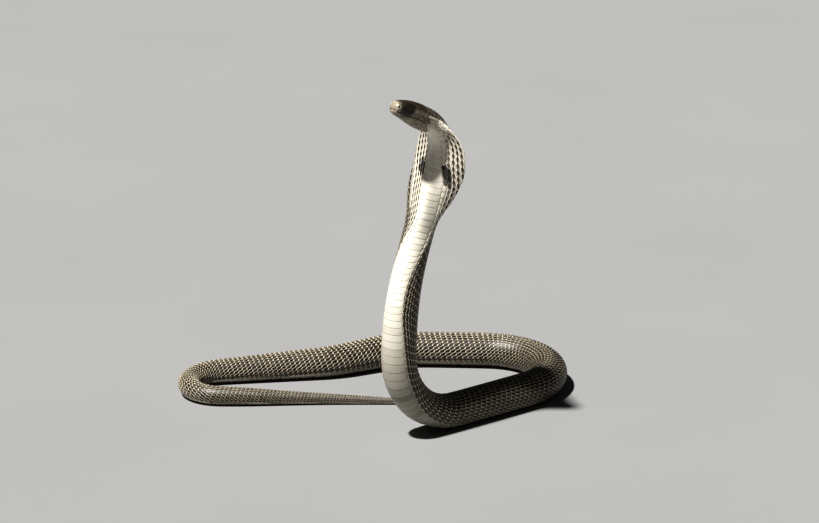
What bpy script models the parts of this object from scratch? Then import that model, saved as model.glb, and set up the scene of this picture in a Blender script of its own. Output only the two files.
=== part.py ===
"""A life-size cobra with its head raised and its hood spread, in Blender 4.5.

Units are metres, +Z is up, and the snake rests on z = 0. Every place on the snake is told by its
station, the distance from the tip of the snout along the middle of the body.
"""

import bpy
import numpy as np
from math import cos, radians, sin

# Course of the body: each stretch is (length, angle that the body has reached at its end).
# The raised part climbs from its foot to the snout, and the angle is its pitch above the floor.
FACING = 218.0  # heading of the raised part, in degrees from +X
RAISED_STRETCHES = (
    (0.114, 90.0),  # foot, turning up off the floor
    (0.050, 98.5),  # straight column
    (0.048, 108.0),  # leaning back
    (0.090, 110.0),  # up to the middle of the hood
    (0.0245, 108.0),
    (0.046, 26.0),  # nape, bent forward
    (0.047, 24.0),  # head
)
# The part on the floor runs from the foot to the tip of the tail, and the angle is its heading.
FLOOR_STRETCHES = (
    (0.096, 39.0),  # near run, away to the right
    (0.168, 176.0),  # right bend
    (0.070, 178.0),  # far run
    (0.040, 208.0),
    (0.045, 208.0),  # slant back towards the front
    (0.035, 190.0),
    (0.107, 190.0),  # rear run
    (0.098, 358.0),  # left bend
    (0.060, 362.0),
    (0.175, 356.0),  # tail
)
FLOOR_START = 38.0  # heading at the foot, which faces away from the raised part
FOOT = (0.0849, -0.0722)  # where the body leaves the floor, in plan
STEP = 0.0005  # step along the course
EASE = 0.022  # length over which one bend passes into the next

# Cross-sections: (station, half width, height above the middle, depth below it)
HEAD_SECTIONS = (
    (0.0000, 0.0000, 0.0000, 0.0000),
    (0.0010, 0.0049, 0.0035, 0.0050),
    (0.0030, 0.0075, 0.0053, 0.0072),
    (0.0060, 0.0090, 0.0068, 0.0084),
    (0.0100, 0.0101, 0.0082, 0.0091),
    (0.0150, 0.0112, 0.0094, 0.0100),
    (0.0200, 0.0123, 0.0102, 0.0111),
    (0.0260, 0.0137, 0.0107, 0.0124),
    (0.0320, 0.0149, 0.0109, 0.0135),
    (0.0380, 0.0157, 0.0108, 0.0141),
    (0.0440, 0.0156, 0.0104, 0.0142),
    (0.0490, 0.0153, 0.0101, 0.0139),
)
BODY_SECTIONS = (
    (0.0560, 0.0182, 0.0098, 0.0138),  # neck
    (0.0660, 0.0256, 0.0100, 0.0125),
    (0.0760, 0.0326, 0.0104, 0.0112),
    (0.0870, 0.0363, 0.0106, 0.0106),
    (0.0990, 0.0366, 0.0108, 0.0102),  # widest of the hood
    (0.1130, 0.0330, 0.0111, 0.0105),
    (0.1260, 0.0284, 0.0115, 0.0112),
    (0.1400, 0.0236, 0.0121, 0.0125),
    (0.1500, 0.0198, 0.0127, 0.0137),
    (0.1600, 0.0170, 0.0133, 0.0149),
    (0.1720, 0.0158, 0.0140, 0.0154),
    (0.1900, 0.0157, 0.0142, 0.0156),  # foot of the hood
    (0.2200, 0.0163, 0.0154, 0.0164),
    (0.2800, 0.0178, 0.0171, 0.0178),
    (0.3400, 0.0182, 0.0178, 0.0181),
    (0.4200, 0.0190, 0.0178, 0.0181),
    (0.7700, 0.0190, 0.0178, 0.0181),  # thickest
    (0.8500, 0.0174, 0.0164, 0.0168),
    (0.9600, 0.0138, 0.0132, 0.0136),
    (1.0400, 0.0114, 0.0109, 0.0111),
    (1.1050, 0.0097, 0.0092, 0.0094),  # vent
    (1.1550, 0.0074, 0.0070, 0.0071),
    (1.2350, 0.0045, 0.0043, 0.0043),
    (1.3070, 0.0022, 0.0021, 0.0020),
)
TAIL_TIP = 0.0025  # length of the rounded end of the tail

# Hood: the ribs stretch the sides of the neck into two thin flaps.
HOOD_SPREAD = ((0.048, 0.0), (0.070, 1.0), (0.140, 1.0), (0.185, 0.0))
CORE_HALF_WIDTH = 0.0135  # of the neck proper, between the flaps
FLAP_SHARE = 0.26  # thickness of the flaps' roots, as a share of the neck's
FLAP_SWEEP = (  # how far the edges lie behind the middle, at each station
    (0.070, 0.0),
    (0.090, 0.0012),
    (0.112, 0.0050),
    (0.138, 0.0048),
    (0.152, 0.0025),
    (0.180, 0.0),
)

# The raised part is twisted: its belly looks more to the snake's left than the hood does.
TWIST = (  # how far each station is turned, in degrees
    (0.080, 0.0),
    (0.100, 5.0),
    (0.115, 13.0),
    (0.130, 25.0),
    (0.150, 38.0),
    (0.170, 44.0),
    (0.200, 42.0),
    (0.240, 34.0),
    (0.330, 32.0),
    (0.370, 14.0),
    (0.405, 0.0),
)

# Belly: flat where it lies on the floor, round where it is raised
BELLY_PRESSED = 0.93  # its depth on the floor, as a share of the round depth
BELLY_LIFTED = (0.340, 0.396)  # stations between which it flattens
SCUTE_STEP = 0.0005  # how far a belly scute stands over the next one
SCUTE_SPAN = (0.056, 0.398)  # stations of the scutes that are raised off the floor
SCUTE_LENGTHS = (  # length of a scute, at each station
    (0.056, 0.0066),
    (0.150, 0.0066),
    (0.200, 0.0063),
    (0.260, 0.0068),
    (0.320, 0.0078),
    (0.400, 0.0072),
)
SCUTE_EDGE = 0.00015  # half the length of the step between two scutes
BELLY_SHARE = 0.30  # of the girth, that the scutes cover
HOOD_BELLY_WIDTH = 0.026  # of the scutes on the spread hood

# The lengths that the body is divided into, as (name, first station, last, rings or 0 for scutes)
GAP = 0.0003
LENGTHS = (
    ("hood", 0.049, 0.190, 0),
    ("forebody_raised", 0.190, 0.325, 0),
    ("forebody_foot", 0.325, 0.432, 0),
    ("body_near", 0.432, 0.515, 10),
    ("body_right_bend_front", 0.515, 0.590, 10),
    ("body_right_bend_back", 0.590, 0.668, 10),
    ("body_far", 0.668, 0.810, 16),
    ("body_rear", 0.810, 0.955, 15),
    ("body_left_bend_back", 0.955, 1.006, 9),
    ("body_left_bend_front", 1.006, 1.092, 12),
    ("tail", 1.092, None, 26),
)
SIDES = 24  # points round the body
PLAIN_STEP = 0.008  # distance between rings where there are no scutes
HEAD_SIDES = 36
HEAD_RINGS = 40

# Head
MOUTH_CORNER = 0.0370  # station
MOUTH_LEVELS = (  # height of the mouth's line, at each station
    (0.000, -0.0032),
    (0.008, -0.0048),
    (0.017, -0.0051),
    (0.029, -0.0046),
    (0.037, -0.0062),
)
LIP_SWELL = 0.0004
LIP_WIDTH = 0.0016
JAW_END = (0.0450, -0.0075)  # station and height of the jaw's rear corner
MOUTH_GAP = 0.0004
JAW_BLOCK = (-0.004, -0.020, 0.030)  # front station, floor and half width of the cutter of the jaw
EYE_STATION = 0.0130
EYE_HEIGHT = 0.0026
EYE_SIDE = 0.0077
EYE_RADIUS = 0.0034
SOCKET_CLEARANCE = 0.0003
NOSTRIL = (0.0029, 0.0072, 0.0009)  # station, side, height
NOSTRIL_RADIUS = 0.0011
BROW_CENTRE = (0.0135, 0.0062)  # station and height of the ridge over the eye
BROW_SIZE = (0.0058, 0.0024)  # its reach along the head and up
BROW_SWELL = 0.0007

SCALE_COLOUR = (0.085, 0.072, 0.058, 1.0)
BELLY_COLOUR = (0.78, 0.73, 0.62, 1.0)
HEAD_COLOUR = (0.13, 0.11, 0.088, 1.0)
EYE_COLOUR = (0.02, 0.014, 0.01, 1.0)


def steady_curve(stations, values, at):
    """Monotone cubic through the stations: it keeps level where they are level, with no overshoot."""
    x = np.asarray(stations, float)
    y = np.asarray(values, float)
    run = np.diff(x)
    slope = np.diff(y) / run
    same_way = slope[1:] * slope[:-1] > 0
    weight = (run[1:] + 2 * run[:-1], 2 * run[1:] + run[:-1])
    below = np.where(same_way, slope[:-1], 1.0)
    above = np.where(same_way, slope[1:], 1.0)
    mean = (weight[0] + weight[1]) / (weight[0] / below + weight[1] / above)
    tangent = np.concatenate([slope[:1], np.where(same_way, mean, 0.0), slope[-1:]])
    at = np.clip(at, x[0], x[-1])
    i = np.clip(np.searchsorted(x, at, "right") - 1, 0, len(run) - 1)
    t = (at - x[i]) / run[i]
    return (
        y[i] * (1 + 2 * t) * (1 - t) ** 2
        + y[i + 1] * t * t * (3 - 2 * t)
        + run[i] * t * (1 - t) * (tangent[i] * (1 - t) - tangent[i + 1] * t)
    )


def curve_at(table, at):
    """Value at a station from a table of (station, value)."""
    return steady_curve(*zip(*table), np.asarray(at, float))


def eased(angle):
    """The angles, averaged over EASE so that each bend runs gently into the next."""
    count = int(EASE / STEP) // 2 * 2 + 1
    kernel = np.hanning(count + 2)[1:-1]
    edge = count // 2
    padded = np.concatenate([np.full(edge, angle[0]), angle, np.full(edge, angle[-1])])
    return np.convolve(padded, kernel / kernel.sum(), "valid")


def turned(stretches, start):
    """Angle at every step of a course that turns evenly along each stretch."""
    lengths, ends = zip(*stretches)
    marks = np.concatenate([[0.0], np.cumsum(lengths)])
    along = np.arange(int(round(marks[-1] / STEP)) + 1) * STEP
    return np.radians(eased(np.interp(along, marks, (start, *ends))))


def walked(rate):
    """Distance gone, when each step goes at this rate."""
    return np.concatenate([[0.0], np.cumsum((rate[1:] + rate[:-1]) / 2 * STEP)])


def size_at(station, column):
    """Half width, height or depth at a station. The square root rounds the tip of the snout."""
    rows = np.array(HEAD_SECTIONS + BODY_SECTIONS)
    size = steady_curve(np.sqrt(rows[:, 0]), rows[:, column], np.sqrt(station))
    to_tip = np.clip((station - (LENGTH - TAIL_TIP)) / TAIL_TIP, 0, 1)
    return size * np.sqrt(1 - to_tip**2)


def body_course():
    """Stations with the middle, the forward, side and back directions of the body at each."""
    pitch = turned(RAISED_STRETCHES, 0.0)
    heading = turned(FLOOR_STRETCHES, FLOOR_START)
    forward, rise = walked(np.cos(pitch)), walked(np.sin(pitch))
    facing = radians(FACING)
    raised = np.stack(
        [FOOT[0] + forward * cos(facing), FOOT[1] + forward * sin(facing), rise], axis=1
    )
    away = np.stack([np.cos(heading), np.sin(heading)], axis=1)
    floor = np.stack(
        [FOOT[0] + walked(away[:, 0]), FOOT[1] + walked(away[:, 1]), 0 * heading], axis=1
    )
    middle = np.concatenate([raised[::-1], floor[1:]])
    pitch = np.concatenate([pitch[::-1], 0 * heading[1:]])
    facing_way = np.concatenate([np.full(len(raised), facing), heading[1:] + np.pi])
    flat = np.stack([np.cos(facing_way), np.sin(facing_way), 0 * facing_way], axis=1)
    up = np.array([0.0, 0.0, 1.0])
    ahead = np.cos(pitch)[:, None] * flat + np.sin(pitch)[:, None] * up
    back = np.cos(pitch)[:, None] * up - np.sin(pitch)[:, None] * flat
    station = np.arange(len(middle)) * STEP
    return station, middle, np.cross(ahead, back), back


RAISED_LENGTH = sum(length for length, _ in RAISED_STRETCHES)
LENGTH = RAISED_LENGTH + sum(length for length, _ in FLOOR_STRETCHES)
COURSE = body_course()


def place(station, side, height):
    """Points at a station, so far to the snake's right and so far above its middle."""
    known, middle, right, back = COURSE
    at = [
        np.stack([np.interp(station, known, table[:, k]) for k in range(3)], axis=-1)
        for table in (middle, right, back)
    ]
    at[0][..., 2] += BELLY_PRESSED * size_at(np.maximum(station, RAISED_LENGTH), 3)
    turn = np.radians(curve_at(TWIST, station))
    across = side * np.cos(turn) + height * np.sin(turn)
    up = height * np.cos(turn) - side * np.sin(turn)
    return at[0] + at[1] * across[..., None] + at[2] * up[..., None]


def section(station, count):
    """Section across the body: count points evenly spaced round it, from the middle of the belly.

    A point is (half width * cos, thickness * sin). Across the hood the thickness falls from the
    neck's to the flaps' as a bell curve of the distance from the middle, and the edges sweep back.
    On the floor the belly is cut off flat.
    """
    wide, high, deep = (float(size_at(np.float64(station), k)) for k in (1, 2, 3))
    turn = np.linspace(-np.pi / 2, 3 * np.pi / 2, 721)
    side = wide * np.cos(turn)
    bell = np.exp(-((side / CORE_HALF_WIDTH) ** 2))
    share = 1 - curve_at(HOOD_SPREAD, station) * (1 - FLAP_SHARE) * (1 - bell)
    height = np.where(np.sin(turn) > 0, high, deep) * share * np.sin(turn)
    pressed = np.clip((station - BELLY_LIFTED[0]) / np.ptp(BELLY_LIFTED), 0, 1)
    height = np.maximum(height, -deep * (1 - pressed * (1 - BELLY_PRESSED)))
    height += curve_at(FLAP_SWEEP, station) * (side / wide) ** 2
    gone = np.concatenate([[0.0], np.cumsum(np.hypot(np.diff(side), np.diff(height)))])
    even = np.arange(count) / count * gone[-1]
    return np.interp(even, gone, side), np.interp(even, gone, height), gone[-1]


def mesh_object(name, points, faces, colour, roughness):
    mesh = bpy.data.meshes.new(name)
    mesh.from_pydata(points.tolist(), [], faces)
    mesh.validate()
    obj = bpy.data.objects.new(name, mesh)
    PARTS.objects.link(obj)
    mesh.materials.append(material(name, colour, roughness))
    mesh.shade_smooth()
    return obj


def material(name, colour, roughness):
    made = bpy.data.materials.new(name)
    made.use_nodes = True
    shader = made.node_tree.nodes["Principled BSDF"]
    shader.inputs["Base Color"].default_value = colour
    shader.inputs["Roughness"].default_value = roughness
    return made


def loft_faces(rings, sides, pole_first=False, pole_last=False):
    """Faces of a tube of rings, closed by a flat cap, or by a point where there is a pole."""
    faces = []
    for i in range(rings - 1):
        for j in range(sides):
            k = (j + 1) % sides
            faces.append(
                (i * sides + j, i * sides + k, (i + 1) * sides + k, (i + 1) * sides + j)
            )
    first, last = rings * sides, rings * sides + int(pole_first)
    if pole_first:
        faces += [(first, (j + 1) % sides, j) for j in range(sides)]
    else:
        faces.append(tuple(reversed(range(sides))))
    base = (rings - 1) * sides
    if pole_last:
        faces += [(base + j, base + (j + 1) % sides, last) for j in range(sides)]
    else:
        faces.append(tuple(base + j for j in range(sides)))
    return faces


def scute_edges():
    """Stations of the belly scutes' edges, each scute as long as the real one there."""
    edges = [SCUTE_SPAN[0]]
    while edges[-1] < SCUTE_SPAN[1]:
        edges.append(edges[-1] + float(np.interp(edges[-1], *zip(*SCUTE_LENGTHS))))
    return edges


def scuted_rings(first, last):
    """Rings (station, how far the belly stands out) of a length with its scutes stepped."""
    rings = [(first, 0.0)]
    for front, rear in zip(scute_edges(), scute_edges()[1:]):
        for at, step in ((front + SCUTE_EDGE, 0.0), (rear - SCUTE_EDGE, SCUTE_STEP)):
            if first + 0.001 < at < last - 0.001:
                rings.append((at, step))
    end = rings[-1][0]
    plain = max(2, int((last - end) / PLAIN_STEP))
    rings += [(end + (last - end) * k / plain, 0.0) for k in range(1, plain + 1)]
    return rings


def body_length(name, first, last, plain_rings):
    """One length of the body, cut square to the course at both ends."""
    ends_in_tip = last is None
    start = first + GAP / 2
    end = LENGTH - STEP if ends_in_tip else last - GAP / 2
    if plain_rings:
        share = np.linspace(0, 1, plain_rings)
        share = 1 - (1 - share) ** 1.4 if ends_in_tip else share
        rings = [(start + (end - start) * t, 0.0) for t in share]
    else:
        rings = scuted_rings(start, end)
    points = []
    for station, step in rings:
        side, height, girth = section(station, SIDES)
        fold = np.minimum(np.arange(SIDES), SIDES - np.arange(SIDES)) / SIDES * girth
        half = min(BELLY_SHARE * girth, 2 * HOOD_BELLY_WIDTH if name == "hood" else 1.0) / 2
        height = height - step * np.clip(2 * (1 - fold / half), 0, 1)
        points.append(place(np.full(SIDES, station), side, height))
    points = np.concatenate(points)
    if ends_in_tip:
        tip = place(np.array([LENGTH]), np.zeros(1), np.zeros(1))
        points = np.concatenate([points, tip])
    faces = loft_faces(len(rings), SIDES, pole_last=ends_in_tip)
    return mesh_object(name, points, faces, SCALE_COLOUR, 0.45)


def brow_and_lips(station, side, height):
    """How far the ridge over the eye and the two lips stand out at a place on the head."""
    along = (station - BROW_CENTRE[0]) / BROW_SIZE[0]
    up = (height - BROW_CENTRE[1]) / BROW_SIZE[1]
    brow = BROW_SWELL * np.exp(-(along**2) - up**2)
    from_mouth = (height - curve_at(MOUTH_LEVELS, station)) / LIP_WIDTH
    before_corner = np.clip((MOUTH_CORNER - station) / LIP_WIDTH, 0, 1)
    lips = LIP_SWELL * np.exp(-(from_mouth**2)) * before_corner
    return (brow + lips) * np.sign(side)


def whole_head(name):
    """The head as one closed form, from the snout to the neck, before the mouth parts it."""
    end = LENGTHS[0][1] - GAP / 2
    stations = end * np.linspace(0.07, 1, HEAD_RINGS) ** 1.5
    points = []
    for station in stations:
        side, height, _ = section(station, HEAD_SIDES)
        side = side + brow_and_lips(station, side, height)
        points.append(place(np.full(HEAD_SIDES, station), side, height))
    tip = place(np.zeros(1), np.zeros(1), np.zeros(1))
    faces = loft_faces(HEAD_RINGS, HEAD_SIDES, pole_first=True)
    return mesh_object(name, np.concatenate(points + [tip]), faces, HEAD_COLOUR, 0.35)


def jaw_block(name, clearance):
    """Cutter under the mouth's line, as wide as the head. Clearance grows it for the gap."""
    front, floor, half_width = JAW_BLOCK
    mouth = np.linspace(front, MOUTH_CORNER, 15)
    level = curve_at(MOUTH_LEVELS, mouth) + clearance
    outline = list(zip(mouth, level))
    outline.append((JAW_END[0] + clearance, JAW_END[1]))
    outline.append((JAW_END[0] + clearance, floor))
    outline.append((front, floor))
    outline = np.array(outline)
    count = len(outline)
    origin, ahead = head_axes()
    points = []
    for side in (-half_width, half_width):
        base = place(np.zeros(count), np.full(count, side), outline[:, 1])
        points.append(base - ahead * outline[:, :1])
    faces = [tuple(reversed(range(count))), tuple(range(count, 2 * count))]
    for j in range(count):
        k = (j + 1) % count
        faces.append((j, k, k + count, j + count))
    return cutter(name, np.concatenate(points), faces)


def head_axes():
    """Tip of the snout, and the direction in which the head points."""
    tip, behind = place(np.array([0.0, 0.01]), np.zeros(2), np.zeros(2))
    return tip, (tip - behind) / np.linalg.norm(tip - behind)


def cutter(name, points, faces):
    mesh = bpy.data.meshes.new(name)
    mesh.from_pydata(points.tolist(), [], faces)
    obj = bpy.data.objects.new(name, mesh)
    CUTTERS.objects.link(obj)
    return as_cutter(obj)


def as_cutter(obj):
    obj.hide_render = True
    obj.display_type = "WIRE"
    return obj


def ball(name, radius, centre, collection, segments=16, rings=10):
    bpy.ops.mesh.primitive_uv_sphere_add(
        segments=segments, ring_count=rings, radius=radius, location=centre
    )
    obj = bpy.context.object
    obj.name = name
    for owner in list(obj.users_collection):
        owner.objects.unlink(obj)
    collection.objects.link(obj)
    return obj


def cut(obj, other, operation):
    modifier = obj.modifiers.new(other.name, "BOOLEAN")
    modifier.operation = operation
    modifier.solver = "EXACT"
    modifier.object = other


def on_head(station, side, height):
    return place(np.array([station]), np.array([side]), np.array([height]))[0]


def build_head():
    head = whole_head("head")
    jaw = whole_head("lower_jaw")
    cut(head, jaw_block("mouth_cutter", MOUTH_GAP / 2), "DIFFERENCE")
    cut(jaw, jaw_block("jaw_cutter", -MOUTH_GAP / 2), "INTERSECT")
    for word, sign in (("right", 1), ("left", -1)):
        centre = on_head(EYE_STATION, sign * EYE_SIDE, EYE_HEIGHT)
        eye = ball(f"eye_{word}", EYE_RADIUS, centre, PARTS)
        eye.data.materials.append(material(f"eye_{word}", EYE_COLOUR, 0.08))
        eye.data.shade_smooth()
        socket_radius = EYE_RADIUS + SOCKET_CLEARANCE
        socket = ball(f"socket_{word}", socket_radius, centre, CUTTERS)
        cut(head, as_cutter(socket), "DIFFERENCE")
        station, side, height = NOSTRIL
        hole = on_head(station, sign * side, height)
        pit = ball(f"nostril_{word}", NOSTRIL_RADIUS, hole, CUTTERS, 10, 8)
        cut(head, as_cutter(pit), "DIFFERENCE")


for old in list(bpy.data.objects):
    bpy.data.objects.remove(old)
PARTS = bpy.data.collections.new("cobra")
CUTTERS = bpy.data.collections.new("cutters")
bpy.context.scene.collection.children.link(PARTS)
bpy.context.scene.collection.children.link(CUTTERS)
build_head()
for length in LENGTHS:
    body_length(*length)
print(f"length {LENGTH:.3f} m, raised {RAISED_LENGTH:.3f} m")
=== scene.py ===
# %% [markdown]
# A cobra, life size, with its head up and its hood spread
#
# The solid model of the snake is already built and packed. This lesson dresses it: one skin from
# snout to tail, a few thousand scales laid over it, the broad plates of the belly, two eyes, and
# the light and camera of the picture. Everything is in metres and shares the solid model's frame,
# so each piece is worked out where it belongs and nothing is moved into place afterwards.

import bpy
import numpy as np
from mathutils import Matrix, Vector


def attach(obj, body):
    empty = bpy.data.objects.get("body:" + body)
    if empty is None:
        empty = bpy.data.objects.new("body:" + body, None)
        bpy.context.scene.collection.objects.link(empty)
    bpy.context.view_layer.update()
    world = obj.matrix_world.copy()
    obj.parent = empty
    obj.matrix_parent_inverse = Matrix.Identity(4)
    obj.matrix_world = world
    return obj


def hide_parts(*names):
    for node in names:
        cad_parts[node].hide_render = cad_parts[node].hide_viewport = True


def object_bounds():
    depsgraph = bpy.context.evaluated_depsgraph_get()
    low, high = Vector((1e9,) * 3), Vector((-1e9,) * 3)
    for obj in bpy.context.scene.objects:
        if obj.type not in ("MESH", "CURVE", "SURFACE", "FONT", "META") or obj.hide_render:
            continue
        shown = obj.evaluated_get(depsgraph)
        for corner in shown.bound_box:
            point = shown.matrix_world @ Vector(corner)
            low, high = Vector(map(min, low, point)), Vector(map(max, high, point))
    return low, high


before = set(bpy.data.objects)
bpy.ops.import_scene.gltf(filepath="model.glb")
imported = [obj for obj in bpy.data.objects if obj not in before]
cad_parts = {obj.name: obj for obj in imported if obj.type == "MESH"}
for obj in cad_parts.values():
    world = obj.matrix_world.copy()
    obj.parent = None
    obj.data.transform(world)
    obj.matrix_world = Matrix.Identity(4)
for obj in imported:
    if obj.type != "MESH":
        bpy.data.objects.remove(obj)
cad_box = [list(corner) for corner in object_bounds()]
print("solid nodes:", sorted(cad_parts))

# %% [markdown]
# The course of the body
#
# A snake is one long tube, so every place on it is told by two numbers: the station, which is the
# distance from the snout along the middle of the body, and how far round the body the place is.
# The middle line could be drawn by hand as a spline, but the solids were made from angles: the
# raised part by its pitch above the floor, the part on the floor by its heading. The same angles
# here give the same line, to the last digit, so the skin fits the solids with no measuring.

# %% The middle line of the body
FACING = 218.0  # heading of the raised part, in degrees from +X
RAISED_STRETCHES = (  # (length, pitch reached at its end), from the foot up to the snout
    (0.114, 90.0), (0.050, 98.5), (0.048, 108.0), (0.090, 110.0),
    (0.0245, 108.0), (0.046, 26.0), (0.047, 24.0),
)
FLOOR_STRETCHES = (  # (length, heading reached at its end), from the foot to the tail
    (0.096, 39.0), (0.168, 176.0), (0.070, 178.0), (0.040, 208.0), (0.045, 208.0),
    (0.035, 190.0), (0.107, 190.0), (0.098, 358.0), (0.060, 362.0), (0.175, 356.0),
)
FLOOR_START = 38.0
FOOT = np.array([0.0849, -0.0722, 0.0])  # where the body leaves the floor
STEP = 0.0005  # along the course
EASE = 0.022  # length over which one bend passes into the next
RAISED_LENGTH = sum(length for length, _ in RAISED_STRETCHES)
LENGTH = RAISED_LENGTH + sum(length for length, _ in FLOOR_STRETCHES)


def running_sum(steps):
    """0, and then the sum after each step."""
    return np.concatenate([np.zeros_like(steps[:1]), np.cumsum(steps, 0)])


def turned(stretches, start):
    """Angle at each step: it changes evenly along each stretch, eased by a bell-shaped average."""
    lengths, ends = zip(*stretches)
    marks = running_sum(lengths)
    along = np.arange(int(round(marks[-1] / STEP)) + 1) * STEP
    angle = np.interp(along, marks, (start, *ends))
    kernel = np.hanning(int(EASE / STEP) // 2 * 2 + 3)[1:-1]
    padded = np.pad(angle, len(kernel) // 2, mode="edge")
    return np.radians(np.convolve(padded, kernel / kernel.sum(), "valid"))


def walked(rate):
    """Distance gone after each step, the running sum of the rate by the trapezium rule."""
    return running_sum((rate[1:] + rate[:-1]) / 2 * STEP)


def level_way(heading):
    """Direction along the floor at a heading: (cos, sin, 0)."""
    return np.stack([np.cos(heading), np.sin(heading), 0 * heading], -1)


def body_course():
    """Middle, right and back directions at each station: two walks joined at the foot."""
    pitch, heading = turned(RAISED_STRETCHES, 0.0), turned(FLOOR_STRETCHES, FLOOR_START)
    facing, up = np.radians(FACING), np.array([0.0, 0.0, 1.0])
    forward, rise = walked(np.cos(pitch))[:, None], walked(np.sin(pitch))[:, None]
    raised = FOOT + forward * level_way(facing) + rise * up
    floor = FOOT + walked(level_way(heading))
    middle = np.concatenate([raised[::-1], floor[1:]])
    pitch = np.concatenate([pitch[::-1], 0 * heading[1:]])[:, None]
    flat = level_way(np.concatenate([np.full(len(raised), facing), heading[1:] + np.pi]))
    ahead = np.cos(pitch) * flat + np.sin(pitch) * up
    back = np.cos(pitch) * up - np.sin(pitch) * flat
    return np.arange(len(middle)) * STEP, middle, np.cross(ahead, back), back


COURSE = body_course()
print(f"length {LENGTH:.3f} m, of which {RAISED_LENGTH:.3f} m is raised")

# %% [markdown]
# The cross-section
#
# Across the body the snake is nearly round. The hood is the same tube with its sides pulled out
# into thin flaps by long ribs, and on the floor the belly is pressed flat. One formula can hold all
# three, with sizes that change smoothly from station to station, and the points of each section are
# spaced evenly round it, so that a step round the body is the same real distance everywhere. The
# snake also twists its raised part a little, and its belly plates drift to one side there. Down the
# column that drift also moves the plates aside so that dark scales show where shade falls, which is
# partly painted shade.

# %% Sizes of the section at each station
SECTIONS = np.array((  # (station, half width, height above the middle, depth below), in mm
    (0, 0, 0, 0), (1, 4.9, 3.5, 5), (3, 7.5, 5.3, 7.2), (6, 9, 6.8, 8.4), (10, 10.1, 8.2, 9.1),
    (15, 11.2, 9.4, 10), (20, 12.3, 10.2, 11.1), (26, 13.7, 10.7, 12.4), (32, 14.9, 10.9, 13.5),
    (38, 15.7, 10.8, 14.1), (44, 15.6, 10.4, 14.2), (49, 15.3, 10.1, 13.9), (56, 18.2, 9.8, 13.8),
    (66, 25.6, 10, 12.5), (76, 32.6, 10.4, 11.2), (87, 36.3, 10.6, 10.6), (99, 36.6, 10.8, 10.2),
    (113, 33, 11.1, 10.5), (126, 28.4, 11.5, 11.2), (140, 23.6, 12.1, 12.5),
    (150, 19.8, 12.7, 13.7), (160, 17, 13.3, 14.9), (172, 15.8, 14, 15.4),
    (190, 15.7, 14.2, 15.6), (220, 16.3, 15.4, 16.4), (280, 17.8, 17.1, 17.8),
    (340, 18.2, 17.8, 18.1), (420, 19, 17.8, 18.1), (770, 19, 17.8, 18.1),
    (850, 17.4, 16.4, 16.8), (960, 13.8, 13.2, 13.6), (1040, 11.4, 10.9, 11.1),
    (1105, 9.7, 9.2, 9.4), (1155, 7.4, 7, 7.1), (1235, 4.5, 4.3, 4.3), (1307, 2.2, 2.1, 2),
)) / 1000
VENT = 1.105
TAIL_TIP = 0.0025  # length of the rounded end of the tail
HOOD_SPREAD = ((0.048, 0.0), (0.070, 1.0), (0.140, 1.0), (0.185, 0.0))
CORE_HALF_WIDTH = 0.0135  # of the neck proper, between the flaps of the hood
FLAP_SHARE = 0.26  # thickness of the flaps, as a share of the neck's
FLAP_SWEEP = (  # how far the edges of the hood lie behind its middle
    (0.070, 0.0), (0.090, 0.0012), (0.112, 0.0050), (0.138, 0.0048), (0.152, 0.0025), (0.180, 0.0),
)
TWIST = (  # how far the raised part is turned at each station, in degrees
    (0.080, 0.0), (0.100, 5.0), (0.115, 13.0), (0.130, 25.0), (0.150, 38.0), (0.170, 44.0),
    (0.200, 42.0), (0.240, 34.0), (0.330, 32.0), (0.370, 14.0), (0.405, 0.0),
)
# Down the column the drift also moves the plates aside, so that dark scales show where shade falls:
# partly painted shade.
BELLY_DRIFT = (  # how far round to the snake's right the middle of the belly plates lies
    (0.085, 0.0), (0.100, -0.0018), (0.112, -0.0048), (0.125, -0.0078), (0.154, -0.0078),
    (0.178, -0.0030), (0.200, 0.0040), (0.217, 0.0078), (0.240, 0.0104), (0.256, 0.0102),
    (0.282, 0.0068), (0.300, 0.0044), (0.330, 0.0018), (0.390, 0.0),
)
BELLY_PRESSED = 0.93  # depth of the belly on the floor, as a share of the round depth
BELLY_LIFTED = (0.340, 0.396)  # stations between which it flattens
SECTION_STEPS = 720  # round a section, before its points are spaced evenly


# %% Read the tables on smooth or straight lines
def steady_curve(stations, values, at):
    """Monotone cubic through the stations: level where they are level, and it never overshoots."""
    x, y = np.asarray(stations, float), np.asarray(values, float)
    run = np.diff(x)
    slope = np.diff(y) / run
    same_way = slope[1:] * slope[:-1] > 0
    weight = (run[1:] + 2 * run[:-1], 2 * run[1:] + run[:-1])
    below, above = (np.where(same_way, s, 1.0) for s in (slope[:-1], slope[1:]))
    mean = (weight[0] + weight[1]) / (weight[0] / below + weight[1] / above)
    tangent = np.concatenate([slope[:1], np.where(same_way, mean, 0.0), slope[-1:]])
    at = np.clip(at, x[0], x[-1])
    i = np.clip(np.searchsorted(x, at, "right") - 1, 0, len(run) - 1)
    t = (at - x[i]) / run[i]
    bend = run[i] * t * (1 - t) * (tangent[i] * (1 - t) - tangent[i + 1] * t)
    return y[i] * (1 + 2 * t) * (1 - t) ** 2 + y[i + 1] * t * t * (3 - 2 * t) + bend


def curve_at(table, at):
    """Value at a station from a table of (station, value), on a smooth curve."""
    return steady_curve(*zip(*table), np.asarray(at, float))


def line_at(table, at):
    """The same on straight lines between the table's stations."""
    return np.interp(at, *zip(*table))


def bell(distance, width):
    """1 in the middle and nearly 0 at twice the width: exp(-(distance / width)^2)."""
    return np.exp(-((distance / width) ** 2))


# %% Work out whole sections
def size_at(station, column):
    """Half width, height or depth: a curve over the root of the station, which rounds the snout."""
    size = steady_curve(np.sqrt(SECTIONS[:, 0]), SECTIONS[:, column], np.sqrt(station))
    return size * np.sqrt(1 - np.clip((station - (LENGTH - TAIL_TIP)) / TAIL_TIP, 0, 1) ** 2)


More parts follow.
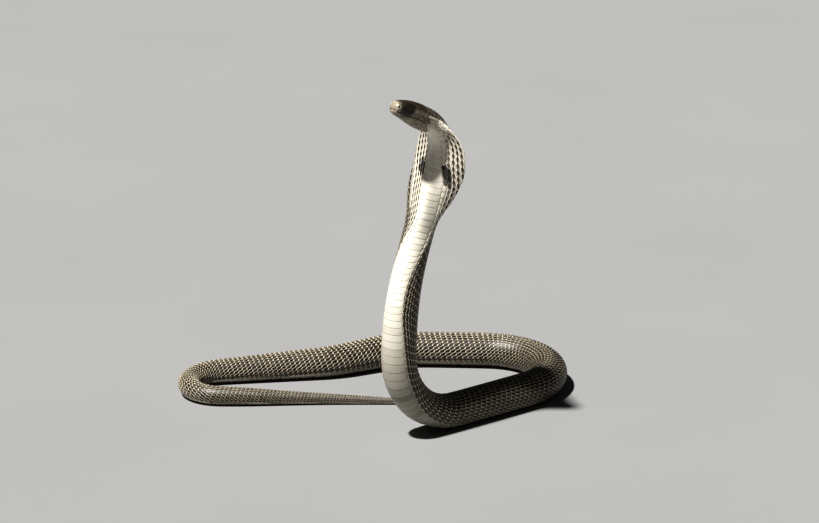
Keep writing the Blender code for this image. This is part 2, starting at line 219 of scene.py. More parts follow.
def sections(station, count):
    """Side, height and girth of whole sections, a row for each station.

    A point is (half width * cos, thickness * sin). Across the hood the thickness falls from the
    neck's to the flaps' as a bell curve of the distance from the middle, and the edges sweep back.
    On the floor the belly is cut off flat. The points start at the middle of the belly plates,
    which drifts a little to either side along the raised part, and go up the snake's right side.
    """
    station = station[:, None]
    wide, high, deep = (size_at(station, k) for k in (1, 2, 3))
    turn = np.linspace(-np.pi / 2, 3 * np.pi / 2, SECTION_STEPS + 1)
    side = wide * np.cos(turn)
    flaps = curve_at(HOOD_SPREAD, station) * (1 - FLAP_SHARE) * (1 - bell(side, CORE_HALF_WIDTH))
    height = np.where(np.sin(turn) > 0, high, deep) * (1 - flaps) * np.sin(turn)
    pressed = np.clip((station - BELLY_LIFTED[0]) / np.ptp(BELLY_LIFTED), 0, 1)
    height = np.maximum(height, -deep * (1 - pressed * (1 - BELLY_PRESSED)))
    height = height + curve_at(FLAP_SWEEP, station) * np.cos(turn) ** 2
    gone = running_sum(np.hypot(np.diff(side), np.diff(height)).T).T
    girth = gone[:, -1:]
    row = 2.0 * np.arange(len(station))[:, None]  # keeps the rows apart in one interpolation
    even = np.mod(np.arange(count) / count + curve_at(BELLY_DRIFT, station) / girth, 1.0) + row
    known = (gone / girth + row).ravel()
    side, height = (np.interp(even, known, grid.ravel()) for grid in (side, height))
    return side, height, girth[:, 0]


# %% Put the sections along the course
def place(station, side, height):
    """Points so far to the snake's right and so far above its middle, for rows of one station.

    Each section is first turned by the twist t, to
    (side cos t + height sin t, height cos t - side sin t).
    """
    known, middle, right, back = COURSE
    at, sideways, upward = (
        np.stack([np.interp(station, known, table[:, k]) for k in range(3)], -1)[:, None]
        for table in (middle, right, back)
    )
    lift = np.array([0.0, 0.0, 1.0]) * BELLY_PRESSED
    at = at + lift * size_at(np.maximum(station, RAISED_LENGTH), 3)[:, None, None]
    turn = np.radians(curve_at(TWIST, station))[:, None]
    across = side * np.cos(turn) + height * np.sin(turn)
    up = height * np.cos(turn) - side * np.sin(turn)
    return at + sideways * across[..., None] + upward * up[..., None]


def unit(vectors):
    """The same directions at length 1."""
    return vectors / np.maximum(np.linalg.norm(vectors, axis=-1, keepdims=True), 1e-12)


def outward(points):
    """Unit normals of a grid of rings: the step round the body crossed with the step tailward."""
    around = np.roll(points, -1, 1) - np.roll(points, 1, 1)
    return unit(np.cross(around, np.gradient(points, axis=0)))


# %% Check the formulas against the solids
FINE_ROUND = 360
FINE_STATIONS = np.arange(1, int(LENGTH / STEP)) * STEP
fine_side, fine_height, FINE_GIRTH = sections(FINE_STATIONS, FINE_ROUND)
FINE_POINTS = place(FINE_STATIONS, fine_side, fine_height)
FINE_NORMALS = outward(FINE_POINTS)
print("fine grid of", FINE_POINTS[..., 0].size, "points")
formula_box = (FINE_POINTS.min((0, 1)), FINE_POINTS.max((0, 1)))
for corner, solid_corner in zip(formula_box, np.array(cad_box)):
    print("corner in mm", np.round(corner * 1000, 1), "solids", np.round(solid_corner * 1000, 1))

# %% [markdown]
# A place on the skin
#
# Scales are laid out on the flat, unrolled skin and then wrapped onto the body. That needs the
# point and the outward direction at any station and any share of the girth. They could be worked
# out from the formulas each time, but it is quicker to keep one fine grid and read between its
# points.

# %% Wrap flat places onto the body
def on_skin(station, around, height):
    """Points at a station, a share of the girth from mid-belly, and a height over the surface.

    Reads the fine grid between its four nearest points, with the same weights for the place and for
    the direction in which the height is laid off.
    """
    row = np.clip(station / STEP - 1, 0, len(FINE_STATIONS) - 1.001)
    column = np.mod(around, 1.0) * FINE_ROUND
    i, j = row.astype(int), column.astype(int) % FINE_ROUND
    u, v = (row - i)[..., None], (column - np.floor(column))[..., None]
    k = (j + 1) % FINE_ROUND

    def between(grid):
        first = grid[i, j] * (1 - v) + grid[i, k] * v
        second = grid[i + 1, j] * (1 - v) + grid[i + 1, k] * v
        return first * (1 - u) + second * u

    return between(FINE_POINTS) + unit(between(FINE_NORMALS)) * height[..., None]


def girth_at(station):
    """Distance round the body at a station."""
    return np.interp(station, FINE_STATIONS, FINE_GIRTH)


def to_right(around):
    """Share of the girth from mid-belly, more than 0 on the snake's right and less on its left."""
    return np.mod(around + 0.5, 1.0) - 0.5


def eased_step(value, low, high):
    """0 up to low, 1 from high on, and the smooth cubic 3t^2 - 2t^3 between."""
    t = np.clip((value - low) / (high - low), 0, 1)
    return t * t * (3 - 2 * t)


# %% [markdown]
# The belly's width and the rows of scales
#
# The underside of a snake is one row of broad plates, and the rest is covered by rows of small
# scales that run the length of the body. Some rows end as the body thins. Where one ends could be
# set row by row; here the count falls smoothly and the outermost rows slip under the edge of the
# belly plates, so the pattern on the back never breaks.

# %% Belly width, row count, pitch and slant of the scales
BELLY_SHARE = 0.155  # of the girth, covered by the belly plates on each side of the middle
BELLY_HALF_MOST = (  # the most that it is, at each station
    (0.045, 0.0098), (0.070, 0.0102), (0.110, 0.0096), (0.160, 0.0096), (0.200, 0.0128),
    (0.250, 0.0168), (0.300, 0.0175),
)
ROWS = (  # count of rows across the back, at each station
    (0.030, 25.0), (0.190, 25.0), (0.260, 23.0), (0.700, 23.0), (0.850, 21.0),
    (0.980, 18.0), (1.100, 15.0), (1.200, 11.0), (1.313, 7.0),
)
PITCH = (  # distance from one scale to the next in its row, at each station
    (0.030, 0.0034), (0.045, 0.0042), (0.058, 0.0054), (0.075, 0.0064), (0.140, 0.0066),
    (0.200, 0.0063), (0.260, 0.0068), (0.320, 0.0078), (0.400, 0.0072), (0.500, 0.0062),
    (0.600, 0.0058), (0.750, 0.0057), (0.900, 0.0052), (1.100, 0.0044), (1.160, 0.0036),
    (1.313, 0.0022),
)
SLANT = (  # how far each row towards the back lags its neighbour, as a share of the pitch
    (0.030, 0.45), (0.080, 0.33), (0.180, 0.33), (0.300, 0.18), (1.313, 0.18),
)


def belly_half(station):
    """Distance round the body from mid-belly to the edge of the belly plates."""
    return np.minimum(BELLY_SHARE * girth_at(station), curve_at(BELLY_HALF_MOST, station))


def row_width(station):
    """Distance round the body from one row to the next."""
    return (girth_at(station) - 2 * belly_half(station)) / line_at(ROWS, station)


def around_at(station, row):
    """Share of the girth from mid-belly where a row lies. Rows count from mid-back to the left."""
    return 0.5 - row * row_width(station) / girth_at(station)


PHASE = running_sum(STEP / line_at(PITCH, FINE_STATIONS[1:]))
print(f"{PHASE[-1]:.0f} scales from snout to tail in each row")

# %% [markdown]
# Meshes from arrays
#
# All shapes below are grids of points, worked out as whole arrays. They could go through Blender's
# mesh tools one vertex at a time, which is slow. One helper hands whole arrays of points and faces
# to a mesh, and takes values that belong to the points, such as a marking, which materials read.

# %% Put arrays into a mesh
def in_scene(name, data):
    """A new object at the origin, for a mesh, a lamp or a camera."""
    made = bpy.data.objects.new(name, data)
    bpy.context.scene.collection.objects.link(made)
    return made


def piece_from(name, points, faces, marks, patch=None):
    """A piece at the origin from points and a list of face arrays, with marks on its points.

    marks is {name: value at each point}. patch is the place of each point on the map named
    OFBake.
    """
    mesh = bpy.data.meshes.new(name)
    corners = np.concatenate([f.ravel() for f in faces]).astype(np.int32)
    sizes = np.concatenate([np.full(len(f), f.shape[1]) for f in faces])
    starts = running_sum(sizes)[:-1].astype(np.int32)
    mesh.vertices.add(len(points))
    mesh.vertices.foreach_set("co", points.astype(np.float32).ravel())
    mesh.loops.add(len(corners))
    mesh.loops.foreach_set("vertex_index", corners)
    mesh.polygons.add(len(sizes))
    mesh.polygons.foreach_set("loop_start", starts)
    mesh.update(calc_edges=True)
    mesh.validate()
    mesh.shade_smooth()
    for mark, value in marks.items():
        values = mesh.attributes.new(mark, "FLOAT", "POINT").data
        values.foreach_set("value", value.astype(np.float32))
    if patch is not None:
        uv = mesh.uv_layers.new(name="OFBake")
        uv.data.foreach_set("uv", patch[corners].astype(np.float32).ravel())
    print(f"{name}: {(sizes - 2).sum()} triangles")
    return in_scene(name, mesh)


# %% [markdown]
# Markings
#
# The picture is black and white, so tones are taken from it and hues from the species. The belly is
# ivory, and so are the scales beside it on the front of the hood. The back is dark olive brown. On
# the front of the hood there is a black spot on each side, and on its back the pale-edged ring mark
# that gives the spectacled cobra its name. Skin and scales read the same functions, so a marking
# runs across both.

# %% Where the snake is pale, and where it is black
PALE_ROWS = (  # rows beside the belly that are still pale, at each station
    (0.030, 5.5), (0.060, 6.0), (0.080, 6.0), (0.145, 5.5), (0.165, 3.6), (0.182, 1.6),
    (0.200, 0.2), (0.225, -0.3), (0.420, -0.2), (1.313, 0.2),
)
PALE_FADE = (-0.6, 0.9)  # rows before and after that limit over which it fades
THROAT_SPOTS = (  # (station, distance from mid-belly to the right, half length, half width)
    (0.1100, 0.0215, 0.0080, 0.0074), (0.1116, -0.0150, 0.0108, 0.0052),
)
SPOT_FADE = (0.85, 1.15)  # shares of a spot's half size over which it fades
BACK_BEGINS = (0.20, 0.27)  # shares of the girth from mid-belly over which the ring mark sets in
RING_STATION, RING_FROM_BACK = 0.0960, 0.0155
RING_BLACK = 0.0046  # radius of the black disc in each ring
RIM = 0.0042  # width of the pale line
BOW_STATION, BOW_HALF_WIDTH, BOW_LENGTH = 0.1000, 0.0165, 0.0290
BOW_START = 0.003  # distance in front of the bow's station within which its line ends
BOW_CUT = 0.01  # added to the distance from the line there, which ends it
OUTLINE = (1.9, 1.3)  # reach of the black round the ring and round the bow, in widths of the line
LINE_FADE, OUTLINE_FADE = (-0.0002, 0.0006), (-0.0002, 0.0008)  # inside and outside each edge


def markings(station, around):
    """How pale and how black the snake is at a station and a share of the girth from mid-belly.

    Pale is an eased step of the rows from the belly's edge. A spot is an eased step of the distance
    from its middle, over its half length and half width. The ring mark is two discs with a pale rim
    and a half ellipse that joins them, all in a black outline. The values ring and bow are
    distances from a ring's middle and from the bow's line.
    """
    girth = girth_at(station)
    across = to_right(around) * girth
    from_belly = np.abs(across)
    from_back = girth / 2 - from_belly
    rows_out = (from_belly - belly_half(station)) / row_width(station)
    limit = curve_at(PALE_ROWS, station)
    pale = 1 - eased_step(rows_out, limit + PALE_FADE[0], limit + PALE_FADE[1])
    spots = [
        np.hypot((station - middle) / long, (across - side) / wide)
        for middle, side, long, wide in THROAT_SPOTS
    ]
    black = 1 - eased_step(np.minimum(*spots), *SPOT_FADE)
    on_back = eased_step(from_belly / girth, *BACK_BEGINS)
    ring = np.hypot(station - RING_STATION, from_back - RING_FROM_BACK)
    bow = np.hypot((station - BOW_STATION) / BOW_LENGTH, from_back / BOW_HALF_WIDTH) - 1
    in_front = eased_step(BOW_STATION - station, 0.0, BOW_START)
    bow = np.abs(bow) * BOW_HALF_WIDTH + BOW_CUT * in_front
    rim = np.abs(ring - RING_BLACK - RIM / 2) - RIM / 2
    light = 1 - eased_step(np.minimum(rim, bow - RIM / 2), *LINE_FADE)
    outlined = np.minimum(ring - RING_BLACK - OUTLINE[0] * RIM, bow - OUTLINE[1] * RIM)
    outlined = 1 - eased_step(outlined, *OUTLINE_FADE)
    return np.maximum(pale, on_back * light), np.maximum(black, on_back * outlined * (1 - light))


# %% [markdown]
# The head
#
# A cobra's head carries large smooth shields instead of scales. They could be cut as curves, but
# their sutures are where two shields meet, so it is enough to say where the middle of each shield
# is: a place belongs to the shield it is nearest to, and the suture runs where two are equally
# near. Long shields get two or three middles. Distances are told in millimetres on the head's own
# axes: station from the snout, side from the middle, height over the middle.

# %% Middles of the head's shields
SHIELDS_IN_PAIRS = (  # (station, side, height) of the middles of each, on the snake's right
    # on the crown: internasal, prefrontal, supraocular, parietal
    ((2.6, 1.7, 4.8),), ((6.3, 2.3, 6.9), (6.7, 5.0, 5.4)), ((11.2, 4.6, 7.4), (14.6, 5.2, 7.9)),
    ((20.2, 2.8, 9.9), (23.8, 3.2, 10.2), (27.8, 2.6, 10.4)),
    # round nostril and eye: two nasals, one in front of the eye and three behind it
    ((1.3, 5.0, 0.9),), ((4.7, 7.9, 1.2),), ((8.0, 8.0, 3.4),),
    ((17.9, 9.0, 5.7),), ((18.1, 10.9, 2.9),), ((17.4, 11.3, 0.2),),
    # on the temple: two, and three behind them
    ((22.6, 11.2, 4.8),), ((23.0, 12.8, 1.0),),
    ((26.8, 9.0, 7.5),), ((28.3, 12.4, 4.2),), ((29.0, 14.0, 0.5),),
    # along the upper lip, first to seventh
    ((2.0, 6.0, -2.0),), ((5.2, 8.1, -2.3),), ((8.9, 9.3, -1.7),), ((12.9, 10.5, -2.9),),
    ((17.4, 11.7, -3.0),), ((22.9, 13.2, -2.6),), ((29.4, 14.5, -3.0), (33.4, 15.0, -3.8)),
    # along the lower lip, with a small wedge between the fourth and the fifth
    ((3.0, 4.6, -6.4),), ((6.4, 7.0, -6.6),), ((10.0, 8.0, -7.2),), ((14.2, 8.8, -7.6),),
    ((17.1, 10.6, -5.8),), ((19.6, 10.2, -7.9),), ((24.6, 11.8, -7.8),), ((30.2, 13.0, -8.2),),
    # under the chin, front and rear
    ((8.2, 2.6, -8.9), (10.6, 2.8, -9.2)), ((14.6, 2.8, -10.0), (17.0, 3.2, -10.4)),
)
SHIELDS_ON_THE_MIDLINE = (  # the tips of both jaws, and the shield between the eyes
    ((0.2, 0.0, 0.0), (0.4, 1.9, -1.6), (0.4, -1.9, -1.6)),
    ((0.9, 0.0, -5.4),),
    ((10.6, 0.0, 8.6), (13.8, 0.0, 9.4), (16.0, 0.0, 9.8)),
)
THROAT_PITCH, THROAT_SPACING = 3.3, 3.0  # of the small scales behind the chin, in millimetres
THROAT_SPAN = (20.5, 52.0)  # stations that they cover, in millimetres
THROAT_LANES = 5  # of them on each side of the middle


def shield_middles():
    """All middles as rows, and the number of the shield that each belongs to."""
    middles, owner = [], []
    groups = list(SHIELDS_ON_THE_MIDLINE)
    for group in SHIELDS_IN_PAIRS:
        groups += [group, [(station, -side, height) for station, side, height in group]]
    rows = np.arange(*THROAT_SPAN, THROAT_PITCH)
    for lane in range(-THROAT_LANES, THROAT_LANES + 1):
        side = lane * THROAT_SPACING
        first = rows + THROAT_PITCH / 2 * (lane % 2)
        wide, deep = (size_at(first / 1000, column) * 1000 for column in (1, 3))
        low = -deep * np.sqrt(np.clip(1 - (side / wide) ** 2, 0, 1))
        groups += [[(station, side, height)] for station, height in zip(first, low)]
    for number, group in enumerate(groups):
        middles += list(group)
        owner += [number] * len(group)
    return np.array(middles) / 1000, np.array(owner)


def suture_distance(spots):
    """Distance from each spot to the nearest suture, and the number of the shield that it is on.

    The suture between two middles is the plane half way between them, and a spot's distance from it
    is (far^2 - near^2) / (2 * distance between the middles).
    """
    middles, owner = shield_middles()
    flat = spots.reshape(-1, 3)
    squared = ((flat[:, None] - middles[None]) ** 2).sum(-1)
    near = squared.argmin(1)
    mine = owner[near]
    apart = np.linalg.norm(middles[near][:, None] - middles[None], axis=-1)
    gap = (squared - squared.min(1)[:, None]) / (2 * np.maximum(apart, 1e-6))
    gap[owner[None] == mine[:, None]] = 1.0
    return gap.min(1).reshape(spots.shape[:-1]), mine.reshape(spots.shape[:-1])


print(len(set(shield_middles()[1])), "shields and throat scales on the head")

# %% [markdown]
# Eyes, nostrils and mouth on the skin
#
# The skin rises to a brow over the eye and to a soft ring round it, dips where the eyeball shows,
# sinks into the nostril and folds in along the mouth. Each could be a Boolean cut, which leaves a
# hard edge that living skin never has. Here each is a small smooth rise or dip added to the head.

# %% Relief of the head
MOUTH_CORNER = 0.0370
CORNER_FADE = (MOUTH_CORNER - 0.001, MOUTH_CORNER + 0.0006)
MOUTH_LEVELS = (  # height of the mouth's line at each station
    (0.000, -0.0032), (0.008, -0.0048), (0.017, -0.0051), (0.029, -0.0046), (0.037, -0.0062),
)
LIP_SWELL, LIP_WIDTH = 0.0004, 0.0016
BROW_CENTRE, BROW_SIZE, BROW_SWELL = (0.0135, 0.0062), (0.0058, 0.0024), 0.0007
EYE = (0.0130, 0.0077, 0.0026)  # station, side and height of its middle
EYE_RADIUS = 0.0034
EYE_RING, EYE_RING_WIDTH, EYE_RING_RISE = 0.0006, 0.0005, 0.00030  # the first is from the eyeball
SOCKET_EDGE, SOCKET_DEPTH = (EYE_RADIUS - 0.0006, EYE_RADIUS + 0.0002), 0.0022
SUTURES_END = EYE_RADIUS + 0.0005  # distance from the eye's middle within which there are none
NOSTRIL = (0.0029, 0.0072, 0.0009)
NOSTRIL_STRETCH = (0.85, 1.0, 1.25)  # its size along, across and up
PIT_FLOOR, PIT_RIM, PIT_DEPTH = 0.0005, 0.0013, 0.0015  # of the nostril
PIT_LIP, PIT_LIP_WIDTH, PIT_LIP_RISE = 0.0016, 0.0004, 0.00018
SUTURE_DEPTH, SUTURE_WIDTH = 0.00018, 0.00019
SHIELD_CROWN, SHIELD_EDGE = 0.00006, 0.0014  # rise of a shield's middle, and width of its slope
MOUTH_DEPTH, MOUTH_WIDTH = 0.00075, 0.00030


def brow_and_lips(station, side, height):
    """Sideways swell of the brow and the lips, each a bell curve, as in the solids."""
    brow = bell(station - BROW_CENTRE[0], BROW_SIZE[0])
    brow = brow * bell(height - BROW_CENTRE[1], BROW_SIZE[1])
    lips = bell(height - curve_at(MOUTH_LEVELS, station), LIP_WIDTH)
    before_corner = np.clip((MOUTH_CORNER - station) / LIP_WIDTH, 0, 1)
    return (BROW_SWELL * brow + LIP_SWELL * lips * before_corner) * np.sign(side)


def head_relief(station, side, height):
    """Height of the relief over the smooth head, how deep in a suture each point is, its shield.

    A suture, the mouth, the ring round the eye and the nostril's lip are each a bell curve of the
    distance from their line. The socket and the nostril's pit are eased steps of the distance from
    their middle.
    """
    away, shield = suture_distance(np.stack([station, side, height], -1))
    suture = bell(away, SUTURE_WIDTH)
    relief = SHIELD_CROWN * eased_step(away, 0.0, SHIELD_EDGE) - SUTURE_DEPTH * suture
    before_corner = 1 - eased_step(station, *CORNER_FADE)
    mouth = bell(height - curve_at(MOUTH_LEVELS, station), MOUTH_WIDTH) * before_corner
    relief = relief - MOUTH_DEPTH * mouth
    mirrored = np.stack([station, np.abs(side), height], -1)
    from_eye = np.linalg.norm(mirrored - EYE, axis=-1)
    from_nostril = np.linalg.norm((mirrored - NOSTRIL) / NOSTRIL_STRETCH, axis=-1)
    relief = relief * (1 - np.exp(-((from_eye / SUTURES_END) ** 8)))
    socket = 1 - eased_step(from_eye, *SOCKET_EDGE)
    ring = bell(from_eye - EYE_RADIUS - EYE_RING, EYE_RING_WIDTH)
    relief = relief + EYE_RING_RISE * ring - SOCKET_DEPTH * socket
    pit = 1 - eased_step(from_nostril, PIT_FLOOR, PIT_RIM)
    lip = bell(from_nostril - PIT_LIP, PIT_LIP_WIDTH)
    relief = relief - PIT_DEPTH * pit + PIT_LIP_RISE * lip
    return relief, np.maximum(np.maximum(suture, mouth), pit), shield


# %% [markdown]
# One skin from snout to tail
#
# The solids are cut into lengths, and a seam between two of them would show. So one mesh replaces
# them all. It is close-meshed on the head, where the relief is, and coarser on the body, where
# scales cover it: twice along the way each pair of steps round the body becomes one step. Under the
# scales it lies a little inside the solids, by the thickness of the scales.

# %% How deep the skin lies
SCALE_DEPTH = 0.00042  # of the skin under the outline, where the scales' roots lie
SINK_RUN = (-0.001, 0.006)  # from the first scales: where the skin sinks to that depth
BARE_RUN = 0.004  # length over which the head's shields give way to scales
PLATE_DEPTH = 0.00060  # and more of it under the belly plates
PLATE_EDGE_RUN = (-0.0012, 0.0002)  # from the plates' edge: where that extra depth ends
PLATES_BEGIN = (0.046, 0.050)  # stations over which it begins
SCALES_BEGIN = (  # (share of the way from mid-back to mid-belly, station)
    (0.0, 0.0318), (0.30, 0.0322), (0.46, 0.0372), (0.60, 0.0405), (0.74, 0.0440), (1.0, 0.0480),
)


def scales_begin(around):
    """Station where the scales begin: behind the crown on top, further back under the throat."""
    return line_at(SCALES_BEGIN, 1 - 2 * np.abs(to_right(around)))


def sunk(station, around):
    """Depth of the scales' roots under the outline: none on the head, SCALE_DEPTH behind it."""
    first = scales_begin(around)
    return SCALE_DEPTH * eased_step(station, first + SINK_RUN[0], first + SINK_RUN[1])


def under_plates(station, around):
    """Depth of the skin under the belly plates' roots, so that none shows between them."""
    from_belly = np.abs(to_right(around)) * girth_at(station)
    inside = 1 - eased_step(from_belly - belly_half(station), *PLATE_EDGE_RUN)
    return PLATE_DEPTH * inside * eased_step(station, *PLATES_BEGIN)


# %% Points and marks of the skin
HEAD_END, HOOD_END = 0.0520, 0.1900
HEAD_RINGS, HOOD_RINGS, BODY_RINGS = 210, 76, 200
HEAD_ROUND = 384  # points of a ring on the head, a quarter as many on the hood, an eighth behind


def skin_rings(stations, count):
    """Points and marks of a run of rings, each a row of the grid."""
    side, height, _ = sections(stations, count)
    station = np.broadcast_to(stations[:, None], side.shape)
    around = np.broadcast_to(np.arange(count) / count, side.shape)
    relief, suture, shield = np.zeros((3, *side.shape))
    on_head = stations < HEAD_END
    if on_head.any():
        side = side + np.where(on_head[:, None], brow_and_lips(station, side, height), 0.0)
        there = (array[on_head] for array in (station, side, height))
        relief[on_head], suture[on_head], shield[on_head] = head_relief(*there)
    points = place(stations, side, height)
    first = scales_begin(around)
    bare = 1 - eased_step(station, first, first + BARE_RUN)
    depth = sunk(station, around) + under_plates(station, around)
    points = points + outward(points) * (relief * bare - depth)[..., None]
    pale, black = markings(station, around)
    tone = np.mod(shield * 0.618, 1.0)  # unlike from one shield to the next
    marks = {"station": station, "height": height, "suture": suture * bare}
    marks |= {"pale": pale, "black": black, "bare": bare, "tone": tone}
    return points.reshape(-1, 3), {name: value.ravel() for name, value in marks.items()}


# %% Faces between rings of points
def ring_faces(rings, count, first=0):
    """Four-sided faces between neighbouring rings."""
    i, j = np.meshgrid(np.arange(rings - 1), np.arange(count), indexing="ij")
    k = (j + 1) % count
    corners = np.stack([i * count + j, i * count + k, (i + 1) * count + k, (i + 1) * count + j], -1)
    return corners.reshape(-1, 4) + first


def halving_faces(count, first, second):
    """Three-sided faces from a ring of count points to a ring of half as many."""
    j = np.arange(count // 2)
    a, b, c = first + 2 * j, first + 2 * j + 1, first + (2 * j + 2) % count
    d, e = second + j, second + (j + 1) % (count // 2)
    return np.concatenate([np.stack(t, 1) for t in ((a, b, d), (b, e, d), (b, c, e))])


def fan(count, first, tip):
    """Three-sided faces from a ring of count points to one point."""
    j = np.arange(count)
    return np.stack([first + j, first + (j + 1) % count, np.full(count, tip)], 1)


# %% Build the skin
def on_middle(station):
    """Points on the middle line of the body."""
    return place(station, np.zeros((len(station), 1)), np.zeros((len(station), 1)))[:, 0]


def build_skin():
    """All rings of head, hood and body in one mesh, closed by a point at the snout and the tail.

    The head's rings lie at HEAD_END * t^1.5 for even steps of t, so they are closest at the snout.
    """
    runs = (
        (HEAD_END * np.linspace(0, 1, HEAD_RINGS + 1)[1:] ** 1.5, HEAD_ROUND),
        (HEAD_END + np.array([0.0006, 0.0014]), HEAD_ROUND // 2),
        (np.linspace(HEAD_END + 0.0026, HOOD_END, HOOD_RINGS), HEAD_ROUND // 4),
        (np.linspace(HOOD_END + 0.003, LENGTH - 0.0003, BODY_RINGS), HEAD_ROUND // 8),
    )
    points, marks, faces, first, last_ring = [], [], [], 0, None
    for stations, count in runs:
        ring_points, ring_marks = skin_rings(stations, count)
        points.append(ring_points)
        marks.append(ring_marks)
        faces.append(ring_faces(len(stations), count, first))
        if last_ring is not None:
            faces.append(halving_faces(2 * count, last_ring, first))
        last_ring = first + (len(stations) - 1) * count
        first += len(ring_points)
    ends = np.array([0.0, LENGTH])
    points.append(on_middle(ends))
    at_ends = {"station": ends, "bare": 1 - ends / LENGTH}
    marks.append({name: np.zeros(2) for name in marks[0]} | at_ends)
    faces += [fan(HEAD_ROUND, 0, first)[:, ::-1], fan(HEAD_ROUND // 8, last_ring, first + 1)]
    all_marks = {name: np.concatenate([m[name] for m in marks]) for name in marks[0]}
    return piece_from("skin", np.concatenate(points), faces, all_marks)


skin = build_skin()

# %% [markdown]
# Scales
#
# One scale is a small grid: sunk at its root, domed across, highest near its tip, with a steep rim.
# It could be instanced on points, but the export drops instances, so the grid is repeated as an
# array and each copy is bent to the body where it lies. The scales overlap like tiles. On the body
# they lean a little from the spine towards the belly, so that their tips fall between the next two.
# The spread hood stretches the skin sideways, and there they lie straight and barely touch.

# %% The grid of one scale
# Columns go along the scale: the root first, and last the tip and the rim under it. Rows go across.
ALONG = np.array([0.0, 0.16, 0.34, 0.50, 0.68, 0.86, 1.0, 1.0])[:, None]
ACROSS = np.array([-1.0, -0.93, -0.50, 0.0, 0.50, 0.93, 1.0])
BODY_OUTLINE = np.array([0.66, 0.86, 0.98, 1.00, 0.95, 0.74, 0.34, 0.34])[:, None]
HOOD_OUTLINE = np.array([0.40, 0.62, 0.86, 0.98, 0.90, 0.62, 0.22, 0.22])[:, None]
RISE = np.array([-0.9, 0.10, 0.45, 0.66, 0.88, 1.0, 0.82, -0.35])[:, None]  # times the lift
DOME = np.array([-0.35, 0.57, 0.91, 1.0, 0.91, 0.57, -0.35])
LIFT = (  # height of the tip, at each station
    (0.030, 0.00022), (0.060, 0.00028), (0.150, 0.00030), (0.300, 0.00042), (0.900, 0.00040),
    (1.313, 0.00018),
)
OVERLAP, HOOD_OVERLAP = 1.30, 1.16  # length of a scale, as a share of the step to the next
LEAN = 0.30  # sideways shift of a scale's axis for each step along
LEANING_ROWS = (0.3, 2.6)  # rows from mid-back over which the lean comes in
LEANING_FROM = (0.150, 0.200)  # stations over which it comes in
HOOD_FADES = (0.150, 0.185)  # stations over which the hood's outline becomes the body's
UNEVENNESS = 0.035  # of the scales' sizes
HIDDEN_ROWS = 0.15  # how far rows reach under the edge of the belly plates
BARE_TAIL = 0.004  # length at the tip of the tail without scales
TAIL_LIMIT = LENGTH - 0.001  # no scale or plate reaches beyond it
CORE_ROWS = (-0.3, 2.4)  # rows beside the belly over which pale scales get their dark middles
CORES_END = (0.20, 0.27)  # shares of the girth from mid-back over which those set in
CORES_BEGIN = (0.055, 0.080)  # stations over which they grow to their full size
CORE_LEAST = 0.55  # their size before that
CLEARANCE = 0.00002  # of the scales' roots over the skin


# %% Where the scales lie
def lattice():
    """Station and row of every scale.

    Along a row the scales lie where phase + slant * (rows from mid-back) passes a whole number, and
    phase is the running count of pitches.
    """
    stations, rows = [], []
    slant = line_at(SLANT, FINE_STATIONS)
    most = int(max(count for _, count in ROWS)) // 2 + 1
    for row in range(-most, most + 1):
        count = PHASE + slant * abs(row)
        whole = np.arange(np.ceil(count[0]), np.floor(count[-1]))
        at = np.interp(whole, count, FINE_STATIONS)
        stations.append(at)
        rows.append(np.full(len(at), float(row)))
    return np.concatenate(stations), np.concatenate(rows)


def kept_scales(station, row):
    """Drops scales that would lie on the head or wholly under the belly plates."""
    seen = np.abs(row) < line_at(ROWS, station) / 2 + HIDDEN_ROWS
    seen &= station > scales_begin(around_at(station, row))
    return seen & (station < LENGTH - BARE_TAIL)


# %% Bend the grid to each scale's place
def domed(rise, dome):
    """Height over a tile's grid: rise times dome, and under the surface where either one is."""
    return np.minimum(rise * np.abs(dome), np.minimum(rise, dome))


def scale_grid(station, row, draw):
    """Station, row and height of every point of every scale: arrays of (scale, along, across).

    The axis of a scale is the direction (1, lean) over (station, distance towards the belly), and
    a point lies b along it and a across it. Near mid-back and on the hood there is no lean. A scale
    is as wide as leaves it the area of its cell of the lattice.
    """
    station, row = station[:, None, None], row[:, None, None]
    width = row_width(station)
    hooded = curve_at(HOOD_SPREAD, station) * (1 - eased_step(station, *HOOD_FADES))
    lean = LEAN * eased_step(np.abs(row), *LEANING_ROWS) * eased_step(station, *LEANING_FROM)
    slope = np.hypot(1, lean)
    reach = OVERLAP + (HOOD_OVERLAP - OVERLAP) * hooded
    size = 1 + UNEVENNESS * draw.standard_normal((2, *station.shape))
    outline = BODY_OUTLINE + (HOOD_OUTLINE - BODY_OUTLINE) * hooded
    b = (ALONG - 0.5) * (reach * size[0] * (line_at(PITCH, station) * slope))
    a = ACROSS * (outline * (0.5 * width / slope * size[1]))
    lean = -np.sign(row) * lean
    at_s = station + (b - a * lean) / slope
    at_row = row - (b * lean + a) / slope / width
    edge = line_at(ROWS, at_s) / 2 + HIDDEN_ROWS
    return at_s, np.clip(at_row, -edge, edge), line_at(LIFT, station) * domed(RISE, DOME)


# %% Make one mesh of many tiles
PATCH = 0.003  # size of a tile on the OFBake map
MARGIN = 0.01  # left free at the edges of that map


